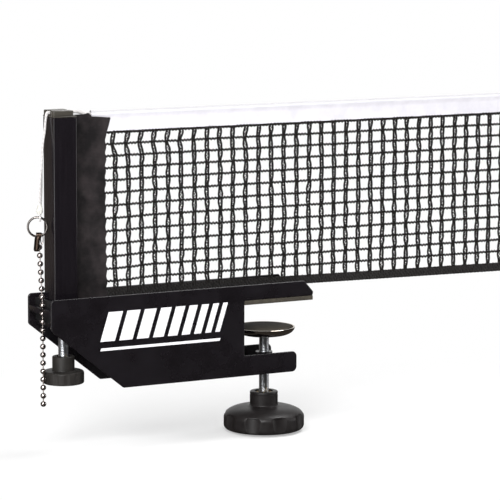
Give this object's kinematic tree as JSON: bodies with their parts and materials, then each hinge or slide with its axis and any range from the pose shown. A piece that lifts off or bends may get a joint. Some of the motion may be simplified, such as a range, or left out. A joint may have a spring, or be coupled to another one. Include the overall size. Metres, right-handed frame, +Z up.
{
  "type": "table tennis net clamp",
  "caption": "Screw clamp for a table's edge with a square post that holds one end of a net, tensioned by a cord and ball chain and set in height by a small knob.",
  "frame": {"origin": "Where the clamp screw's axis meets the plane of the table top, on the underside of the pad.", "axes": "X runs along the net from the post towards the table's middle, Y crosses the net, Z points up."},
  "size_m": [0.4509, 0.0628, 0.2561],
  "materials": {
    "black_paint": "satin",
    "pad_rubber": "matte",
    "zinc_steel": "satin",
    "black_plastic": "matte",
    "grey_plastic": "matte",
    "white_plastic": "gloss",
    "nickel": "polished",
    "dark_nickel": "polished",
    "brass": "satin",
    "black_fabric": "matte",
    "white_fabric": "matte"
  },
  "bodies": {
    "bracket": {"front_plate": "black_paint", "rear_plate": "black_paint", "jaw_web": "black_paint", "table_pad": "pad_rubber", "clamp_bridge": "black_paint", "clamp_nut": "zinc_steel", "height_bridge": "black_paint", "height_nut": "zinc_steel", "post_guide": "black_plastic", "chain_catch": "black_paint", "split_ring": "nickel", "cord_crimp": "white_plastic", "chain_connector": "dark_nickel", "chain_upper": "dark_nickel"},
    "clamp_disc": {"pressure_disc": "nickel", "disc_pad": "pad_rubber"},
    "clamp_spindle": {"clamp_screw": "zinc_steel", "clamp_clip": "zinc_steel", "clamp_knob": "black_plastic", "clamp_knob_insert": "brass"},
    "net_post": {"post": "black_paint", "post_cap": "grey_plastic", "post_foot": "black_plastic", "sleeve_rod": "zinc_steel", "net_sleeve": "black_fabric", "net_mesh": "black_fabric", "net_band": "white_fabric", "net_tape": "black_fabric", "net_end_sleeve": "black_fabric", "net_cord": "white_fabric", "cord_tail": "white_fabric"},
    "height_spindle": {"height_screw": "zinc_steel", "height_clip": "zinc_steel", "height_knob": "grey_plastic", "height_knob_insert": "brass"},
    "chain_swing": {"chain_tail_upper": "dark_nickel"},
    "chain_end": {"chain_tail_lower": "dark_nickel"}
  },
  "joints": [
    {"name": "clamp_travel", "type": "slide", "parent": "bracket", "child": "clamp_disc", "axis": [0, 0, 1], "range_m": [-0.009, 0.0195]},
    {"name": "clamp_screw_turn", "type": "hinge", "parent": "clamp_disc", "child": "clamp_spindle", "pos_m": [0, 0, -0.06], "axis": [0, 0, 1], "range_deg": [-2590, 5610]},
    {"name": "post_lift", "type": "slide", "parent": "bracket", "child": "net_post", "axis": [0, 0, 1], "range_m": [-0.003, 0.005], "deforming": ["cord_tail"]},
    {"name": "height_screw_turn", "type": "hinge", "parent": "net_post", "child": "height_spindle", "pos_m": [-0.1715, 0, -0.03], "axis": [0, 0, 1], "range_deg": [-860, 1435]},
    {"name": "chain_swing_out", "type": "hinge", "parent": "bracket", "child": "chain_swing", "pos_m": [-0.1893, -0.0025, 0.0036], "axis": [0, 1, 0], "range_deg": [0, 60]},
    {"name": "chain_swing_side", "type": "hinge", "parent": "chain_swing", "child": "chain_end", "pos_m": [-0.1893, -0.0025, -0.0088], "axis": [1, 0, 0], "range_deg": [-60, 60]}
  ],
  "couplings": [
    {"joint": "clamp_travel", "follows": "clamp_screw_turn", "m_per_rad": 0.00019894},
    {"joint": "post_lift", "follows": "height_screw_turn", "m_per_rad": 0.00019894}
  ]
}
